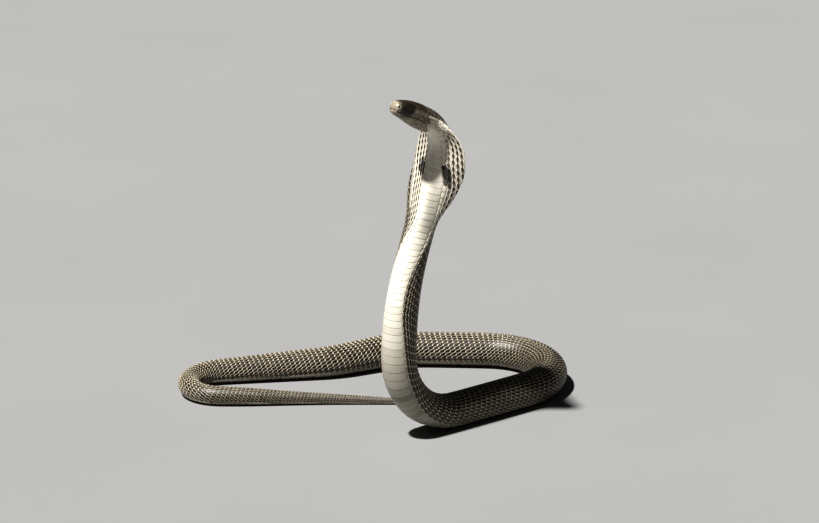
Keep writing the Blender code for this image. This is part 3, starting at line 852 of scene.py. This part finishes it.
def tiled_piece(name, points, along, across, marks, station, around):
    """One mesh of tiles that are all the same grid, from points of (tile, along, across, 3).

    marks has a value for each tile. Each tile fills a small patch of the OFBake map, whose place
    there is told by its station and its share of the girth.
    """
    shape = points.shape[:3]
    marks = {mark: value[:, None, None] for mark, value in marks.items()}
    marks |= {"along": along, "across": np.abs(across)}
    marks = {mark: np.broadcast_to(value, shape).ravel() for mark, value in marks.items()}
    spread = np.stack(np.broadcast_arrays(along - 0.5, across / 2), -1)
    middle = np.stack([station / LENGTH, around], -1)[:, None, None]
    patch = middle * (1 - 2 * MARGIN) + MARGIN + spread * PATCH
    corner = np.arange(np.prod(shape)).reshape(shape)
    faces = [corner[:, :-1, :-1], corner[:, :-1, 1:], corner[:, 1:, 1:], corner[:, 1:, :-1]]
    faces = np.stack(faces, -1).reshape(-1, 4)
    points[..., 2] = np.maximum(points[..., 2], 0.0)  # none goes through the floor
    return piece_from(name, points.reshape(-1, 3), [faces], marks, patch.reshape(-1, 2))


# %% Build the scales, a length at a time
SCALE_RUNS = (  # (piece, first station, last)
    ("hood_scales", 0.030, 0.190),
    ("raised_body_scales", 0.190, 0.400),
    ("right_bend_scales", 0.400, 0.660),
    ("far_run_scales", 0.660, 0.880),
    ("left_bend_scales", 0.880, 1.090),
    ("tail_scales", 1.090, 1.313),
)


def build_scales(name, first, last, draw):
    """One length's scales as a single mesh."""
    station, row = lattice()
    here = kept_scales(station, row) & (station >= first) & (station < last)
    station, row = station[here], row[here]
    at_s, at_row, height = scale_grid(station, row, draw)
    at_s = np.minimum(at_s, TAIL_LIMIT)
    around = around_at(at_s, at_row)
    points = on_skin(at_s, around, height - sunk(at_s, around) + CLEARANCE)
    root = around_at(station, row)
    pale, black = markings(station, root)
    core = eased_step(line_at(ROWS, station) / 2 - np.abs(row), *CORE_ROWS)
    core = core * (CORE_LEAST + (1 - CORE_LEAST) * eased_step(station, *CORES_BEGIN))
    core = core * eased_step(np.abs(root - 0.5), *CORES_END)
    marks = {"pale": pale, "black": black, "tone": draw.random(len(station)), "core": core}
    return tiled_piece(name, points, ALONG, ACROSS, marks, station, root)


draw = np.random.default_rng(11)
scale_pieces = [build_scales(name, first, last, draw) for name, first, last in SCALE_RUNS]

# %% [markdown]
# Belly plates
#
# Under the snake each plate is as wide as the belly and its rear edge lies over the next one, like
# clapboards. Behind the vent the plates come in pairs. Steps in the skin itself would be simpler,
# but they couldn't overlap. So each is the same kind of small grid as a scale, only broad, and bent
# round the body by the same helper.

# %% Build the belly plates
PLATE_ALONG = np.array([0.0, 0.12, 0.50, 0.84, 0.96, 1.0, 1.0])[:, None]
PLATE_RISE = np.array([-0.8, 0.10, 0.50, 0.88, 1.0, 0.80, -0.3])[:, None]
HALF_ACROSS = np.array([0.0, 0.22, 0.44, 0.66, 0.85, 0.975, 1.0])
HALF_DOME = np.array([1.0, 1.0, 1.0, 1.0, 0.9, 0.35, -0.4])
PLATE_ACROSS = np.concatenate([-HALF_ACROSS[:0:-1], HALF_ACROSS])
PLATE_DOME = np.concatenate([HALF_DOME[:0:-1], HALF_DOME])
PLATE_LIFT = 0.00021
PLATE_UNEVENNESS = 0.06  # of the lift
FULL_LIFT_PITCH = 0.006  # plates that are shorter than this stand lower
PLATE_OVERLAP = 1.32
PLATE_NARROWED = 0.05  # how much narrower a plate's free edge is
PLATE_BOW = 0.10  # how far a plate's ends lie in front of its middle, as a share of its pitch
FIRST_PLATE = 0.0470
LEAST_LIFT = 0.3  # of the shortest plates, as a share of the full lift
FREE_EDGE = 0.9  # share of a plate's length from which it narrows
PAIR_GAP = 0.0003  # width of the slit between the two plates of a pair
PAINTED_SHADE_RUN = (0.222, 0.352)  # stations between which the belly plates darken from ivory to grey: painted shade down the column


def plate_edges():
    """Stations of the plates' front edges: one plate to each scale of a row."""
    first = np.ceil(np.interp(FIRST_PLATE, FINE_STATIONS, PHASE))
    return np.interp(np.arange(first, np.floor(PHASE[-1]) - 2), PHASE, FINE_STATIONS)


def build_plates(draw):
    """Plates to the vent, then pairs that alternate, each between a first and a second limit."""
    front = plate_edges()
    single, paired = front[front < VENT], front[front >= VENT]
    station = np.concatenate([single, paired, paired + line_at(PITCH, paired) / 2])
    kind = np.repeat([0, 1, 2], [len(single), len(paired), len(paired)])[:, None, None]
    half, pitch = belly_half(station)[:, None, None], line_at(PITCH, station)[:, None, None]
    first = np.where(kind == 1, PAIR_GAP / 2, -half)
    second = np.where(kind == 2, -PAIR_GAP / 2, half)
    middle, reach = (first + second) / 2, (second - first) / 2
    narrowed = 1 - PLATE_NARROWED * (PLATE_ALONG > FREE_EDGE)
    ahead = PLATE_ALONG * (PLATE_OVERLAP * pitch) - PLATE_BOW * pitch * PLATE_ACROSS**2
    at_s = np.minimum(station[:, None, None] + ahead, TAIL_LIMIT)
    around = (middle + reach * PLATE_ACROSS * narrowed) / girth_at(at_s)
    lift = PLATE_LIFT * np.clip(pitch / FULL_LIFT_PITCH, LEAST_LIFT, 1.0)
    lift = lift * (1 + PLATE_UNEVENNESS * draw.standard_normal(pitch.shape))
    points = on_skin(at_s, around, lift * domed(PLATE_RISE, PLATE_DOME) - sunk(at_s, around))
    root = np.mod(middle.ravel() / girth_at(station), 1.0)
    # the second mark darkens the plates down the column: painted shade where the belly turns from
    # the light
    marks = {"tone": draw.random(len(station)), "grey": eased_step(station, *PAINTED_SHADE_RUN)}
    return tiled_piece("belly_plates", points, PLATE_ALONG, PLATE_ACROSS, marks, station, root)


belly_plates = build_plates(draw)

# %% [markdown]
# Eyes
#
# A snake has no lids: a clear scale covers the eye. It could be a second shell over the eyeball,
# but at this size one glossy ball looks the same. It is a full sphere set into the head, and its
# pupil and iris are painted by the angle from the direction that it looks in.

# %% Build the eyeballs
EYE_RINGS, EYE_SIDES = 24, 40
EYE_LOOK = np.array([0.22, 0.95, 0.12])  # direction of the pupil: ahead, outward and up
EYE_STEP = 20  # step of the course at which the head's directions are read


def build_eye(name, sign):
    """A sphere by angle from the pupil and turn about it: radius * (cos, sin cos, sin sin)."""
    right, up = (directions[EYE_STEP] for directions in COURSE[2:])
    axes = np.stack([unit(np.cross(up, right)), right * sign, up])
    centre = on_middle(np.zeros(1)) + np.multiply(EYE, (-1, 1, 1)) @ axes
    look = unit(EYE_LOOK @ axes)
    first = unit(np.cross(up, look))
    polar = np.linspace(0, np.pi, EYE_RINGS + 1)[1:-1, None]
    turn = np.linspace(0, 2 * np.pi, EYE_SIDES, endpoint=False)
    ball = [np.cos(polar) + 0 * turn, np.sin(polar) * np.cos(turn), np.sin(polar) * np.sin(turn)]
    rings = np.stack(ball, -1).reshape(-1, 3) @ np.stack([look, first, np.cross(look, first)])
    points = np.concatenate([rings, look[None], -look[None]]) * EYE_RADIUS + centre
    angle = np.concatenate([np.repeat(polar, EYE_SIDES), [0.0, np.pi]])
    count = len(rings)
    faces = [ring_faces(EYE_RINGS - 1, EYE_SIDES)[:, ::-1], fan(EYE_SIDES, 0, count)]
    faces.append(fan(EYE_SIDES, count - EYE_SIDES, count + 1)[:, ::-1])
    return piece_from(name, points, faces, {"angle": angle})


eyes = [build_eye("right_eyeball", 1), build_eye("left_eyeball", -1)]

# %% [markdown]
# Materials
#
# Colours are mixed from the marks on the points and from noise, so no picture is needed. Node trees
# drawn by hand are hard to read in a script. A small class lets shader maths be written as ordinary
# sums, and one method makes every other kind of node.

# %% A short way to write node trees
class Value:
    """An output socket that takes part in sums: each operator adds its Math node."""

    def __init__(self, finish, socket):
        self.finish, self.socket = finish, socket

    def worked(self, operation, first, second):
        return self.finish.node("ShaderNodeMath", {"operation": operation}, {0: first, 1: second})

    def __add__(self, other):
        return self.worked("ADD", self, other)

    def __mul__(self, other):
        return self.worked("MULTIPLY", self, other)

    def __sub__(self, other):
        return self.worked("SUBTRACT", self, other)

    def __rsub__(self, other):
        return self.worked("SUBTRACT", other, self)

    __radd__, __rmul__ = __add__, __mul__


# %% A material under construction
class Finish:
    """A material under construction, with the constants of its surface set at once."""

    def __init__(self, name, **constants):
        self.material = bpy.data.materials.new(name)
        self.material.use_nodes = True
        self.tree = self.material.node_tree
        self.surface = self.tree.nodes["Principled BSDF"]
        self.done(**constants)

    def feed(self, socket, value):
        if isinstance(value, Value):
            self.tree.links.new(value.socket, socket)
        else:
            socket.default_value = value

    def node(self, kind, settings, inputs, output=0):
        """A node of any kind: its settings, also a ramp's stops, then its values and links."""
        made = self.tree.nodes.new(kind)
        for name, setting in settings.items():
            if name == "stops":
                stops = made.color_ramp.elements
                while len(stops) < len(setting):
                    stops.new(0.5)
                for stop, (position, colour) in zip(stops, setting):
                    stop.position, stop.color = position, colour
            else:
                setattr(made, name, setting)
        for socket, value in inputs.items():
            self.feed(made.inputs[socket], value)
        return Value(self, made.outputs[output])

    def marks(self, *names):
        """The values of marks on the points."""
        kind = "ShaderNodeAttribute"
        return [self.node(kind, {"attribute_name": name}, {}, "Fac") for name in names]

    def noise(self, scale, detail=2.0, roughness=0.5):
        """Noise from 0 to 1 in the object's own space, scale in waves per metre."""
        where = self.node("ShaderNodeTexCoord", {}, {}, "Object")
        inputs = {"Vector": where, "Scale": scale, "Detail": detail, "Roughness": roughness}
        return self.node("ShaderNodeTexNoise", {}, inputs)

    def step(self, value, low, high):
        """0 below low, 1 above high, smooth between."""
        inputs = {"Value": value, "From Min": low, "From Max": high}
        return self.node("ShaderNodeMapRange", {"interpolation_type": "SMOOTHSTEP"}, inputs)

    def mix(self, share, first, second, blend="MIX"):
        """Colours mixed by a share."""
        settings = {"data_type": "RGBA", "blend_type": blend}
        return self.node("ShaderNodeMix", settings, {0: share, 6: first, 7: second}, 2)

    def bump(self, height, distance, strength):
        """Fine relief, for the surface's Normal."""
        inputs = {"Strength": strength, "Distance": distance, "Height": height}
        return self.node("ShaderNodeBump", {}, inputs)

    def done(self, **inputs):
        """Feeds the surface and hands over the finished material."""
        for socket, value in inputs.items():
            self.feed(self.surface.inputs[socket.replace("_", " ")], value)
        return self.material


# %% Colours
IVORY = (0.80, 0.755, 0.65, 1.0)
CREAM_SHADE = (0.64, 0.58, 0.46, 1.0)
# painted shade: the grey that the belly plates darken to down the column
PAINTED_BELLY_SHADE = (0.150, 0.135, 0.108, 1.0)
DARK_BROWN = (0.016, 0.013, 0.009, 1.0)
OLIVE_BROWN = (0.036, 0.029, 0.019, 1.0)
PALE_RIM = (0.66, 0.58, 0.44, 1.0)
NEAR_BLACK = (0.010, 0.009, 0.008, 1.0)
SLIT_SKIN = (0.030, 0.025, 0.020, 1.0)
PALE_SKIN = (0.52, 0.46, 0.37, 1.0)
# the plates' free edge: partly a pale rim of its own, partly a painted highlight where light
# catches it
PALE_EDGE_AND_HIGHLIGHT = (0.86, 0.82, 0.73, 1.0)
GRAIN_DARK, GRAIN_LIGHT = (0.20, 0.17, 0.12, 1.0), (1.0, 0.95, 0.85, 1.0)
print("ivory is", IVORY[:3], "and the back", DARK_BROWN[:3], "to", OLIVE_BROWN[:3])

# %% [markdown]
# The scales' material
#
# Each scale of the back is dark in its middle and paler at its rim, which draws a light net over
# the snake. The ivory scales beside the belly plates are the same, with a dark oval that grows from
# row to row until it fills the scale. A picture would need thousands of ovals drawn on it. The
# marks along and across each scale place them all, and no two scales have quite the same tone.

# %% Material of the scales
def scale_finish():
    """Dark middle and light rim, ivory with an oval where the mark says pale, and black on top.

    The oval is where x^2 + y^2 is small, with x across and y along the scale, and it grows and
    darkens with the mark core.
    """
    finish = Finish("scale_finish", Roughness=0.40, IOR=1.5)
    tone, pale, black, core = finish.marks("tone", "pale", "black", "core")
    across, along = finish.marks("across", "along")
    grain, mottle = finish.noise(2600.0, 3.0, 0.6), finish.noise(260.0)
    middle = finish.mix(finish.step(tone * 0.6 + mottle * 0.5, 0.2, 0.85), DARK_BROWN, OLIVE_BROWN)
    sides, tip = finish.step(across, 0.70, 0.90), finish.step(along, 0.79, 0.89)
    rim = finish.node("ShaderNodeMath", {"operation": "MAXIMUM"}, {0: sides, 1: tip})
    dorsal = finish.mix(rim * (0.50 + tone * 0.25 + tip * 0.25), middle, PALE_RIM)
    ivory = finish.mix(finish.step(mottle + tone * 0.4, 0.45, 1.0) * 0.45, IVORY, CREAM_SHADE)
    x, y = across * 1.30, (along - 0.54) * 2.15
    oval = 1 - finish.step(x * x + y * y - core * 0.45, 0.20, 0.55)
    ivory = finish.mix(oval * finish.step(core, 0.05, 0.9) * 0.96, ivory, middle)
    colour = finish.mix(pale, dorsal, ivory)
    colour = finish.mix(black * (0.97 - rim * 0.10), colour, NEAR_BLACK)
    colour = finish.mix(0.10, colour, finish.mix(grain, GRAIN_DARK, GRAIN_LIGHT), "SOFT_LIGHT")
    relief = finish.bump(grain, 0.00006, 0.5)
    return finish.done(Base_Color=colour, Roughness=0.34 + mottle * 0.14, Normal=relief)


# %% [markdown]
# The belly plates' material
#
# The belly is ivory under the hood and darkens to grey down the column. That grey is painted shade,
# where the belly turns from the light. The plates could each get a colour of their own, but a mark
# that grows with the station keeps the change even. Each plate's free edge is paler, partly a pale
# rim of its own and partly a painted highlight where light catches the raised edge.

# %% Material of the belly plates
def plate_finish():
    """Ivory in front and darkened to grey behind by painted shade, deeper in tone at the sides, and
    paler at the free edge, partly a painted highlight.
    """
    finish = Finish("belly_finish", IOR=1.5)
    tone, across, along, grey = finish.marks("tone", "across", "along", "grey")
    cloud, grain = finish.noise(140.0, 3.0), finish.noise(1800.0, 2.0)
    shade = finish.step(cloud + tone * 0.35, 0.45, 1.0) * 0.5
    ivory = finish.mix(shade + finish.step(across, 0.80, 1.0) * 0.25, IVORY, CREAM_SHADE)
    # darker down the column: painted shade
    plate = finish.mix(grey * (0.72 + tone * 0.16), ivory, PAINTED_BELLY_SHADE)
    # paler free edge: partly its own pale rim, partly a painted highlight
    plate = finish.mix(finish.step(along, 0.90, 0.97) * 0.3, plate, PALE_EDGE_AND_HIGHLIGHT)
    relief = finish.bump(grain, 0.00004, 0.4)
    return finish.done(Base_Color=plate, Roughness=0.32 + grain * 0.10, Normal=relief)


# %% [markdown]
# The skin's material
#
# Between the scales the skin is dark, and pale where they are pale. On the head it is the finish
# of the shields: brown on the crown, darker along the sutures, paler at the snout and on the lips.
# That could be two materials, but their edge would show, so one mark, bare, blends them.

# %% Material of the skin
HEAD_BROWN = (0.030, 0.024, 0.016, 1.0)
HEAD_OLIVE = (0.060, 0.048, 0.032, 1.0)
HEAD_PALE = (0.50, 0.43, 0.32, 1.0)
HEAD_DARK = (0.012, 0.010, 0.008, 1.0)
EYE_PATCH = (0.0066, 0.0056)  # half length and half height of the dark skin round the eye


def skin_finish():
    """Slit skin, with the head's shields laid over it where the skin is bare."""
    finish = Finish("skin_finish", IOR=1.5)
    station, height, suture = finish.marks("station", "height", "suture")
    bare, tone, pale, black = finish.marks("bare", "tone", "pale", "black")
    cloud, grain = finish.noise(420.0, 3.0), finish.noise(3000.0)
    snout = 1 - finish.step(station + cloud * 0.004, 0.0030, 0.0080)
    lips = 1 - finish.step(height + cloud * 0.003, -0.0060, -0.0010)
    x, y = (station - EYE[0]) * (1 / EYE_PATCH[0]), (height - EYE[2]) * (1 / EYE_PATCH[1])
    by_eye = 1 - finish.step(x * x + y * y, 0.7, 1.3)
    low = 1 - finish.step(height + cloud * 0.002, 0.0030, 0.0065)
    cheek = finish.step(station, 0.0150, 0.0200) * low
    shields = finish.mix(cloud * 0.6 + tone * 0.6 - 0.1, HEAD_BROWN, HEAD_OLIVE)
    for share in (cheek * 0.30, lips * (0.15 + tone * 0.45), snout * (0.60 + tone * 0.3)):
        shields = finish.mix(share, shields, HEAD_PALE)
    for share in (by_eye * 0.75, suture * 0.8):
        shields = finish.mix(share, shields, HEAD_DARK)
    between = finish.mix(pale * (1 - black), SLIT_SKIN, PALE_SKIN)
    colour = finish.mix(bare, between, shields)
    relief = finish.bump(grain, 0.00005, 0.4)
    return finish.done(Base_Color=colour, Roughness=0.36 + cloud * 0.14, Normal=relief)


# %% [markdown]
# The eyes' material
#
# At this size an eye is nearly black, with a thin ring of iris and one sharp light. Pupil and iris
# could be separate discs. A colour ramp over the angle from the pupil needs no more geometry, and a
# clear coat gives the light.

# %% Material of the eyes
HALF_TURNS = 0.3183  # in one radian


def eye_finish():
    """Black pupil, a thin amber-brown ring of iris, dark eyeball, all under a clear glossy coat."""
    finish = Finish("eye_finish", Roughness=0.06, IOR=1.45, Coat_Weight=1.0, Coat_Roughness=0.03)
    stops = (  # (angle from the pupil in half turns, colour)
        (0.0, (0.004, 0.003, 0.003, 1)), (0.145, (0.004, 0.003, 0.003, 1)),
        (0.155, (0.13, 0.07, 0.026, 1)), (0.18, (0.040, 0.024, 0.013, 1)),
        (0.30, (0.012, 0.009, 0.007, 1)),
    )
    (angle,) = finish.marks("angle")
    colour = finish.node("ShaderNodeValToRGB", {"stops": stops}, {"Fac": angle * HALF_TURNS})
    return finish.done(Base_Color=colour)


# %% Give each piece its material
finishes = (scale_finish(), plate_finish(), skin_finish(), eye_finish())
for pieces, finish in zip((scale_pieces, [belly_plates], [skin], eyes), finishes):
    for piece in pieces:
        piece.data.materials.append(finish)
    print(finish.name, "on", [piece.name for piece in pieces])

# %% [markdown]
# Put the pieces on the solid model
#
# The snake is a still model, so it has one body, the root, and every piece rides on it. The skin
# stands for all the solids of flesh, and the eyeballs for the solid eyes.

# %% Ride on the root and replace the solids
FLESH = sorted(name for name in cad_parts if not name.startswith("eye_"))
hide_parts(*FLESH)
for eye, node in zip(eyes, ("eye_right", "eye_left")):
    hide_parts(node)
pieces = (skin, belly_plates, *eyes, *scale_pieces)
for piece in pieces:
    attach(piece, "root")
print("pieces:", len(pieces))

# %% [markdown]
# Floor, light and camera
#
# The snake lies on a plain pale floor. The sun of the picture stood high on the left, in front of
# the snake, and threw the head's shadow on the throat. A soft lamp in that direction keeps the
# shadow, and a pale sky fills it. The camera looks from a little above, with a long lens.

# %% Floor
FLOOR_RADII = (0.6, 1.5, 4.0, 9.0)
FLOOR_SIDES = 64
FLOOR_LEVEL = -0.0002  # just under the belly, so that the two don't share a plane
FLOOR_DARK, FLOOR_LIGHT = (0.250, 0.248, 0.242, 1.0), (0.275, 0.272, 0.266, 1.0)


def build_floor():
    """A flat disc: rings of points at radius * (cos, sin), and its middle."""
    radius = np.array(FLOOR_RADII)[:, None]
    turn = np.linspace(0, 2 * np.pi, FLOOR_SIDES, endpoint=False)[None]
    level = np.full((len(FLOOR_RADII), FLOOR_SIDES), FLOOR_LEVEL)
    rings = np.stack([radius * np.cos(turn), radius * np.sin(turn), level], -1).reshape(-1, 3)
    points = np.concatenate([rings, [[0.0, 0.0, FLOOR_LEVEL]]])
    faces = ring_faces(len(FLOOR_RADII), FLOOR_SIDES)[:, ::-1]
    return piece_from("floor", points, [faces, fan(FLOOR_SIDES, 0, len(rings))], {})


floor = build_floor()
floor_finish = Finish("floor_finish", Roughness=0.8)
floor_colour = floor_finish.mix(floor_finish.noise(3.0, 4.0), FLOOR_DARK, FLOOR_LIGHT)
floor.data.materials.append(floor_finish.done(Base_Color=floor_colour))

# %% Light
SUN_RAY = np.array([128.0, 94.0, -318.0])  # the way the light travels
KEY_SOFTNESS, KEY_POWER = 3.0, 5.3  # angle that the lamp fills in degrees, and its strength
SKY_COLOUR, SKY_STRENGTH = (0.86, 0.90, 0.96, 1.0), 0.05


def look_along(obj, direction):
    """Turns a lamp or camera to look along a direction, with its top up."""
    obj.rotation_euler = Vector(direction).to_track_quat("-Z", "Y").to_euler()


lamp = bpy.data.lights.new("key", "SUN")
lamp.angle, lamp.energy = np.radians(KEY_SOFTNESS), KEY_POWER
look_along(in_scene("key", lamp), SUN_RAY)
sky = bpy.data.worlds.new("sky")
sky.use_nodes = True
glow = sky.node_tree.nodes["Background"].inputs
glow["Color"].default_value, glow["Strength"].default_value = SKY_COLOUR, SKY_STRENGTH
bpy.context.scene.world = sky
bpy.context.scene.view_settings.view_transform = "Standard"
bpy.context.scene.view_settings.look = "High Contrast"
print("sun strength", KEY_POWER, "and sky", SKY_STRENGTH)

# %% Camera
AIM = np.array([0.0384, -0.1102, 0.1885])  # what the middle of the picture shows
ELEVATION, DISTANCE, LENS = 18.0, 3.5, 153.85
lens = bpy.data.cameras.new("camera")
lens.lens, lens.sensor_width = LENS, 36.0
camera = in_scene("camera", lens)
back_off = np.array([0.0, np.cos(np.radians(ELEVATION)), -np.sin(np.radians(ELEVATION))])
camera.location = AIM - back_off * DISTANCE
look_along(camera, back_off)
bpy.context.scene.camera = camera
print("camera at", np.round(camera.location, 3), "lens", LENS, "mm")
